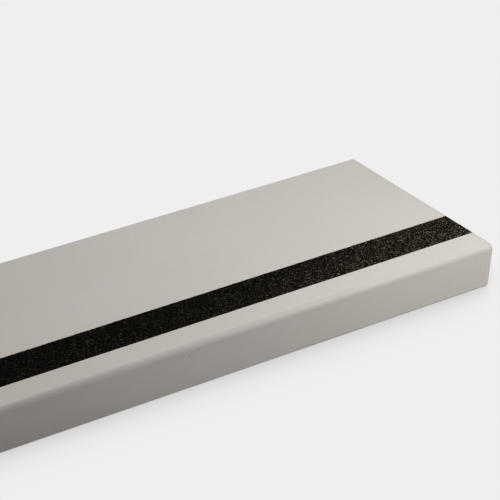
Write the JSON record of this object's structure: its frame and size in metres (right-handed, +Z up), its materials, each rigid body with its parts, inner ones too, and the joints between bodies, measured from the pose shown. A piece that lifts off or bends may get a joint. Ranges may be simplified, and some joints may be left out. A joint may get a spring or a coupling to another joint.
{
  "type": "rubber stair tread",
  "caption": "Rubber stair tread with a smooth tapered walking surface, a rounded turned-down nose and a black grit strip set in along the front edge.",
  "frame": {"origin": "bottom centre of the bounding box, on the floor that the tread lies on", "axes": "+X along the step, +Y from the nose towards the back edge, +Z up. The tread lies on the lip of its nose and its back edge, so its walking surface faces up and falls about 11 degrees towards +Y"},
  "size_m": [0.914, 0.2706, 0.0544],
  "materials": {
    "tread_rubber": "smooth, satin, warm light grey",
    "grit": "coarse black mineral grit in a black binder"
  },
  "bodies": {
    "root": {"tread": "tread_rubber", "grit_strip": "grit"}
  },
  "joints": []
}
